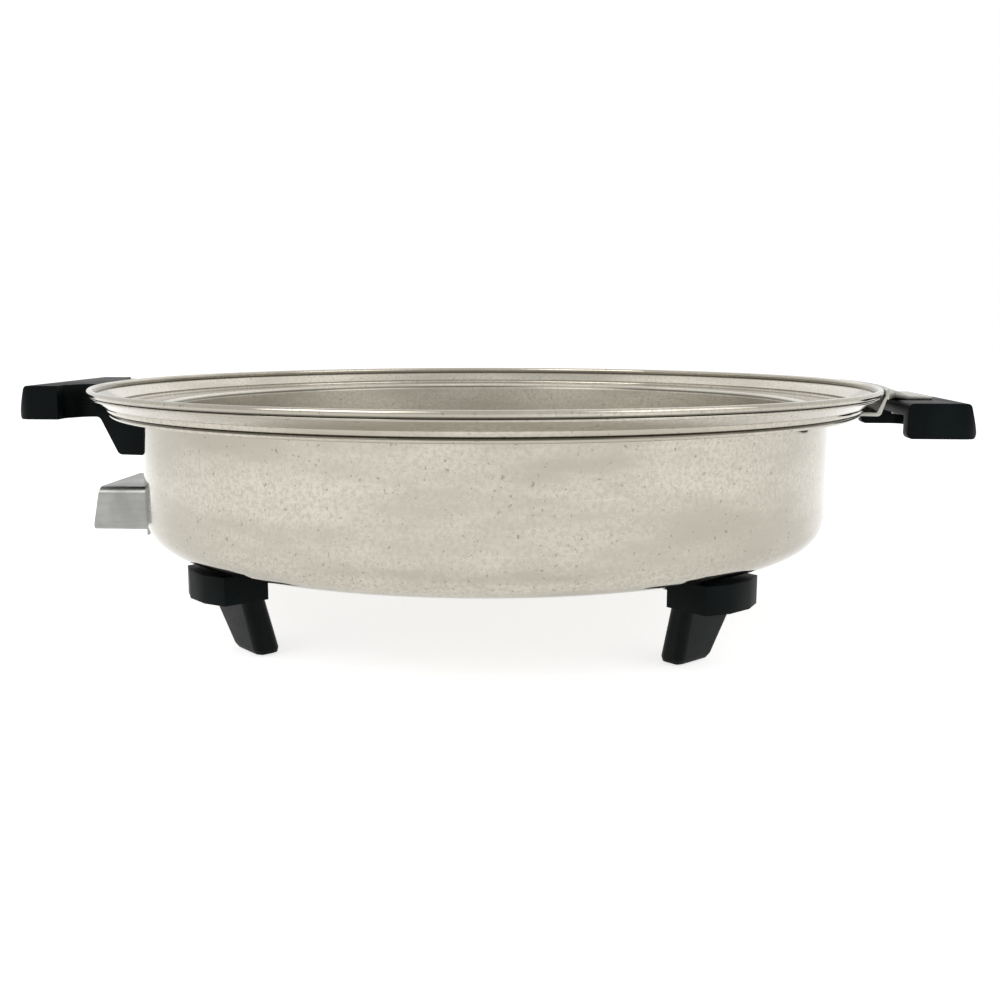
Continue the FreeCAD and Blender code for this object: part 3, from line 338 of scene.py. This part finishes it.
def mesh_from(name, work):
    """Close a bmesh into a mesh."""
    mesh = bpy.data.meshes.new(name)
    work.to_mesh(mesh)
    work.free()
    return mesh


def slot_of(node):
    """The record's material slot of a CAD node."""
    for part in frame["record"]["subparts"]:
        if part["node"] == node:
            return part["material_slot"]
    raise RuntimeError("no slot for " + node)


def eased_copy(node, name, material, width, segments):
    """Copy a CAD node, merge it and round its sharp edges, as a moulding or deburred sheet has them."""
    mesh = frame["nodes"][node].data.copy()
    mesh.name = name
    work = bmesh.new()
    work.from_mesh(mesh)
    bmesh.ops.remove_doubles(work, verts=work.verts, dist=0.00001)
    bmesh.ops.dissolve_limit(
        work, angle_limit=math.radians(FLAT_ANGLE), verts=work.verts, edges=work.edges)
    edges = [e for e in work.edges
             if e.is_manifold and e.calc_face_angle(0.0) > math.radians(SHARP_ANGLE)]
    bmesh.ops.bevel(work, geom=edges, offset=width, offset_type="OFFSET", segments=segments,
                    profile=0.5, affect="EDGES", clamp_overlap=True, material=-1)
    bmesh.ops.triangulate(work, faces=[f for f in work.faces if len(f.verts) > 4])
    work.to_mesh(mesh)
    work.free()
    return finish_piece(mesh, name, material, node)


def dress(nodes, material):
    """Give CAD nodes that stay as they are their material."""
    for node in nodes:
        mesh = frame["nodes"][node].data
        if mesh.materials:
            for slot in frame["nodes"][node].material_slots:
                slot.material = material
        else:
            mesh.materials.append(material)


# Settings ----------------------------------------------------------------------------------------

def length(name, description, millimetres):
    """A size, written in millimetres and kept in metres."""
    return bpy.props.FloatProperty(
        name=name, description=description, default=millimetres / 1000, unit="LENGTH", precision=5)


def colour(name, description, code):
    """A colour, written as sRGB hex and kept linear."""
    return bpy.props.FloatVectorProperty(
        name=name, description=description, default=hex_colour(code), size=4, min=0.0, max=1.0,
        subtype="COLOR")


class SkilletVessel(bpy.types.PropertyGroup):
    """Sizes of the inner pan's turned section"""
    floor_height: length("Floor height", "Underside of the pan's floor above the worktop", 48.9)
    wall_radius: length("Wall radius", "Outside of the pan's wall", 136.8)
    wall_corner: length("Wall corner", "Rounding between the pan's floor and its wall", 9.0)
    ledge_height: length("Ledge height", "Underside of the ledge above the worktop", 89.2)
    ledge_root: length("Ledge root", "Rounding between the pan's wall and the ledge", 1.5)
    ledge_radius: length("Ledge radius", "Outside of the ledge", 155.6)
    ledge_bead: length("Ledge bead", "Rounding of the ledge's outer corner", 1.8)
    riser_foot: length("Riser foot", "Ledge's underside up to the foot of the riser", 2.0)
    riser_radius: length("Riser radius", "Outside of the riser's top", 160.6)
    riser_height: length("Riser height", "Top of the slanting part of the riser above the worktop", 94.9)
    lip_height: length("Lip height", "Middle of the rolled lip above the worktop", 96.85)
    lip_radius: length("Lip radius", "Vessel's axis to the middle of the rolled lip", 161.25)
    lip_wire: length("Lip wire", "Thickness of the rolled lip", 2.5)
    bead_radius: length("Bead radius", "Vessel's axis to the bead under the ledge", 153.4)
    bead_height: length("Bead height", "Middle of that bead above the worktop", 88.3)
    bead_wire: length("Bead", "Thickness of that bead", 2.0)
    step_radius: length("Step radius", "Vessel's axis to the bead under the lip", 160.8)
    step_height: length("Step height", "Middle of the bead under the lip above the worktop", 94.9)
    step_wire: length("Step", "Thickness of the bead under the lip", 1.1)
    sheet: length("Sheet", "Thickness of the pan's sheet", 1.0)


class SkilletSteel(bpy.types.PropertyGroup):
    """Tones of the stainless parts and the rounding of their cut edges"""
    clean: colour("Clean steel", "Tone of clean brushed steel", "#C2BDB1")
    dull: colour("Dull steel", "Tone of handled, duller steel", "#A7A296")
    spots: colour("Water marks", "Tone of the water marks", "#C9C5B8")
    sheet_clean: colour("Clean sheet", "Tone of the folded guard", "#A1A29E")
    sheet_dull: colour("Dull sheet", "Tone of the guard's rubbed places", "#878784")
    # painted light: the bracket strap's steel is toned lighter than the guard's, to stand in for the
    # light that falls on it
    lit_strap_clean: colour("Clean strap", "Tone of the far-side bracket", "#B5B4AC")
    lit_strap_dull: colour("Dull strap", "Tone of the bracket's dull places", "#92918A")
    edge: length("Sheet edge", "Rounding of cut sheet edges", 0.25)


class SkilletPhenolic(bpy.types.PropertyGroup):
    """Tones and roundings of the black mouldings"""
    black: colour("Black", "Tone of the phenolic", "#060A0B")
    bloom: colour("Bloom", "Tone of its dull bloom", "#0D1516")
    edge: length("Moulded edge", "Rounding of the mouldings' edges", 0.9)


class SkilletView(bpy.types.PropertyGroup):
    """Place of the camera"""
    turn: bpy.props.FloatProperty(
        name="Turn", description="Camera's turn round the vessel's axis", default=math.radians(4.6),
        subtype="ANGLE")
    tilt: bpy.props.FloatProperty(
        name="Tilt", description="Camera's tilt below level", default=math.radians(8.78),
        subtype="ANGLE")
    distance: length("Distance", "Camera to the vessel's axis", 492.4)
    height: length("Height", "Camera above the worktop", 122.8)
    lens: bpy.props.FloatProperty(
        name="Lens", description="Focal length on a 36 mm sensor", default=41.04,
        subtype="DISTANCE_CAMERA")




SENSOR_WIDTH = 36.0        # millimetres
SIDEWAYS_SHIFT = 0.015     # of the sensor's width
NEAREST = 0.01             # metres from the camera
LAMPS_AIM = (0, 0, 0.05)   # half the vessel's height
LAMPS = (                  # name, place, size in metres, power in watts
    ("key_light", (-0.7, -0.8, 1.1), 0.9, 8.0),
    ("fill_light", (0.9, -0.5, 0.8), 0.8, 3.0),
    ("back_light", (0.1, 1.3, 1.2), 1.6, 3.0),
)
WHITE = (1, 1, 1, 1)
FLOOR_GREY = (0.62, 0.62, 0.62, 1)
FLOOR_GLOW = 0.75          # what the floor adds where it is seen or mirrored, so that it looks white
SOFT_LIGHT = 0.55          # strength of the surround as light
FLOOR_HALF = 4.0           # metres


# Operators ---------------------------------------------------------------------------------------

class SKILLET_OT_stage(bpy.types.Operator):
    """Camera, floor, soft studio light and a white surround"""
    bl_idname = "skillet.stage"
    bl_label = "Stage"

    def execute(self, context):
        view = context.scene.skillet_view
        scene = context.scene
        scene.view_settings.view_transform = "Standard"
        camera = bpy.data.objects.new("camera", bpy.data.cameras.new("camera"))
        scene.collection.objects.link(camera)
        camera.data.sensor_width = SENSOR_WIDTH
        camera.data.lens = view.lens
        camera.data.shift_x = SIDEWAYS_SHIFT
        camera.data.clip_start = NEAREST
        turned = Matrix.Rotation(view.turn, 3, "Z")
        camera.location = turned @ Vector((0, -view.distance, view.height))
        camera.rotation_euler = Euler((math.pi / 2 - view.tilt, 0, view.turn))
        scene.camera = camera
        self.make_surround(scene)
        self.make_floor()
        for name, place, size, power in LAMPS:
            lamp = bpy.data.lights.new(name, "AREA")
            lamp.size = size
            lamp.energy = power
            holder = bpy.data.objects.new(name, lamp)
            holder.location = place
            aim = Vector(LAMPS_AIM) - Vector(place)
            holder.rotation_euler = aim.to_track_quat("-Z", "Y").to_euler()
            scene.collection.objects.link(holder)
        return {"FINISHED"}

    def make_surround(self, scene):
        """World that is soft grey as light and white where it is seen or mirrored."""
        world = bpy.data.worlds.new("studio")
        scene.world = world
        world.use_nodes = True
        tree = world.node_tree
        seen = seen_or_mirrored(tree)
        soft = tree.nodes["Background"]
        soft.inputs["Color"].default_value = WHITE
        soft.inputs["Strength"].default_value = SOFT_LIGHT
        white = add_node(tree, "ShaderNodeBackground", {"Color": WHITE, "Strength": 1.0})
        both = add_node(tree, "ShaderNodeMixShader", {
            0: seen, 1: soft.outputs[0], 2: white.outputs[0]})
        tree.links.new(both.outputs[0], tree.nodes["World Output"].inputs["Surface"])

    def make_floor(self):
        """Pale floor that looks white and keeps the skillet's shadow."""
        work = bmesh.new()
        bmesh.ops.create_grid(work, x_segments=1, y_segments=1, size=FLOOR_HALF)
        mesh = mesh_from("floor", work)
        floor = bpy.data.objects.new("floor", mesh)
        bpy.context.scene.collection.objects.link(floor)
        material, tree, shader, _ = new_material("floor_paint")
        seen = seen_or_mirrored(tree)
        shader.inputs["Base Color"].default_value = FLOOR_GREY
        shader.inputs["Roughness"].default_value = 1.0
        shader.inputs["Specular IOR Level"].default_value = 0.0
        glow = add_node(tree, "ShaderNodeEmission", {
            "Color": WHITE, "Strength": worked(tree, "MULTIPLY", seen, FLOOR_GLOW)})
        both = add_node(tree, "ShaderNodeAddShader", {0: shader.outputs[0], 1: glow.outputs[0]})
        tree.links.new(both.outputs[0], tree.nodes["Material Output"].inputs["Surface"])
        mesh.materials.append(material)




class SKILLET_OT_vessel(bpy.types.Operator):
    """Inner pan with its rolled lip, and the outer shell, in brushed stainless"""
    bl_idname = "skillet.vessel"
    bl_label = "Vessel"

    def execute(self, context):
        steel = context.scene.skillet_steel
        size = context.scene.skillet_vessel
        shell = drawn_stainless(
            "drawn_stainless_shell", steel.clean, steel.dull, steel.spots,
            marks_low=0.044, marks_high=0.056, wear=0.35, groove_shade=0.0, haze=0.0)
        # the pan's steel carries painted shade in the grooves under its lip and its ledge
        pan = drawn_stainless(
            "drawn_stainless_pan", steel.clean, steel.dull, steel.spots,
            marks_low=0.050, marks_high=0.056, wear=0.3, groove_shade=0.85, haze=0.22)
        dress(["outer_shell"], shell)
        work = bmesh.new()
        turned_sheet(work, (
            (0, size.floor_height, 0),
            (size.wall_radius, size.floor_height, size.wall_corner),
            (size.wall_radius, size.ledge_height, size.ledge_root),
            (size.ledge_radius, size.ledge_height, size.ledge_bead),
            (size.ledge_radius, size.ledge_height + size.riser_foot, 0),
            (size.riser_radius, size.riser_height, 0),
            (size.riser_radius, size.lip_height, 0)), size.sheet)
        turned_wire(work, size.lip_radius, size.lip_height, size.lip_wire)
        turned_wire(work, size.bead_radius, size.bead_height, size.bead_wire)
        turned_wire(work, size.step_radius, size.step_height, size.step_wire)
        bmesh.ops.recalc_face_normals(work, faces=work.faces)
        finish_piece(mesh_from("pan_with_lip", work), "pan_with_lip", pan, "inner_pan")
        return {"FINISHED"}


class SKILLET_OT_guard(bpy.types.Operator):
    """Probe guard and the far-side handle's bracket, folded from stainless sheet"""
    bl_idname = "skillet.guard"
    bl_label = "Guard and bracket"

    def execute(self, context):
        steel = context.scene.skillet_steel
        sheet = folded_stainless("folded_stainless", steel.sheet_clean, steel.sheet_dull)
        # the strap gets a lighter copy of the guard's folded steel: painted light that brightens the
        # bracket
        strap = folded_stainless("folded_stainless_lit_strap", steel.lit_strap_clean, steel.lit_strap_dull)
        eased_copy("probe_guard", "guard_sleeve", sheet, steel.edge, 2)
        eased_copy("far_handle_bracket", "bracket_strap", strap, steel.edge, 2)
        return {"FINISHED"}


class SKILLET_OT_mouldings(bpy.types.Operator):
    """Handles and legs in black phenolic, with their edges eased"""
    bl_idname = "skillet.mouldings"
    bl_label = "Handles and legs"

    def execute(self, context):
        tones = context.scene.skillet_phenolic
        black = moulded_phenolic("moulded_phenolic", tones.black, tones.bloom)
        for node in ("probe_side_handle", "far_side_handle"):
            eased_copy(node, node.replace("_handle", "_grip"), black, tones.edge, 3)
        for corner in ("front_left", "front_right", "rear_left", "rear_right"):
            eased_copy("leg_" + corner, "foot_" + corner, black, tones.edge, 3)
        return {"FINISHED"}


# Metals round the heating tube: nodes, material, clean and dull tone, roughness
HIDDEN_METALS = (
    # grey-brown and matt, as heat leaves a sheathed tube
    (("heating_element",), "heat_dulled_sheath", "#6E6A63", "#4C4740", 0.45),
    # pale, even and soft
    (("heat_spreader",), "rolled_aluminium", "#C9C9C7", "#A9A9A6", 0.35),
    # yellowish white and shiny
    (("terminal_pins",), "nickelled_brass", "#B9B5A8", "#958E7C", 0.25),
    # mid grey with a drawn shine
    (("probe_tube", "element_ferrules", "probe_ferrule"), "drawn_steel_tube", "#9A9891", "#77746C", 0.3),
)


class SKILLET_OT_heating_parts(bpy.types.Operator):
    """Heating tube, spreader, pins, bushes, probe tube and their collars"""
    bl_idname = "skillet.heating_parts"
    bl_label = "Heating parts"

    def execute(self, context):
        for nodes, name, clean, dull, roughness in HIDDEN_METALS:
            dress(nodes, small_metal(name, hex_colour(clean), hex_colour(dull), roughness))
        dress(["pin_insulators"],
              fired_ceramic("fired_steatite", hex_colour("#DAD3C4"), hex_colour("#BDB5A3")))
        return {"FINISHED"}


class SKILLET_OT_fasteners(bpy.types.Operator):
    """Bosses, screws, studs, washers and nuts in zinc-plated steel"""
    bl_idname = "skillet.fasteners"
    bl_label = "Fasteners"

    def execute(self, context):
        plated = small_metal("zinc_plated_steel", hex_colour("#A7A8A6"), hex_colour("#86867F"), 0.32)
        dress([n for n in frame["nodes"] if slot_of(n) == "fastener_steel"], plated)
        return {"FINISHED"}


class SKILLET_PT_panel(bpy.types.Panel):
    """Lists the skillet's settings and steps"""
    bl_label = "Electric Skillet"
    bl_idname = "SKILLET_PT_panel"
    bl_space_type = "VIEW_3D"
    bl_region_type = "UI"
    bl_category = "Skillet"

    def draw(self, context):
        for group in (context.scene.skillet_vessel, context.scene.skillet_steel,
                      context.scene.skillet_phenolic, context.scene.skillet_view):
            box = self.layout.box()
            for key in group.__annotations__:
                box.prop(group, key)
        for step in STEPS:
            self.layout.operator(step.bl_idname)


GROUPS = (SkilletVessel, SkilletSteel, SkilletPhenolic, SkilletView)
STEPS = (SKILLET_OT_stage, SKILLET_OT_vessel, SKILLET_OT_guard, SKILLET_OT_mouldings,
         SKILLET_OT_heating_parts, SKILLET_OT_fasteners)


def register():
    """Register the classes and hang the settings on the scene."""
    for cls in GROUPS + STEPS + (SKILLET_PT_panel,):
        bpy.utils.register_class(cls)
    bpy.types.Scene.skillet_vessel = bpy.props.PointerProperty(type=SkilletVessel)
    bpy.types.Scene.skillet_steel = bpy.props.PointerProperty(type=SkilletSteel)
    bpy.types.Scene.skillet_phenolic = bpy.props.PointerProperty(type=SkilletPhenolic)
    bpy.types.Scene.skillet_view = bpy.props.PointerProperty(type=SkilletView)


def unregister():
    """Take the settings and the classes away again."""
    del bpy.types.Scene.skillet_view
    del bpy.types.Scene.skillet_phenolic
    del bpy.types.Scene.skillet_steel
    del bpy.types.Scene.skillet_vessel
    for cls in reversed(GROUPS + STEPS + (SKILLET_PT_panel,)):
        bpy.utils.unregister_class(cls)


def main():
    """Run every step in order."""
    register()
    for step in STEPS:
        group, name = step.bl_idname.split(".")
        getattr(getattr(bpy.ops, group), name)()


if __name__ == "__main__":
    main()
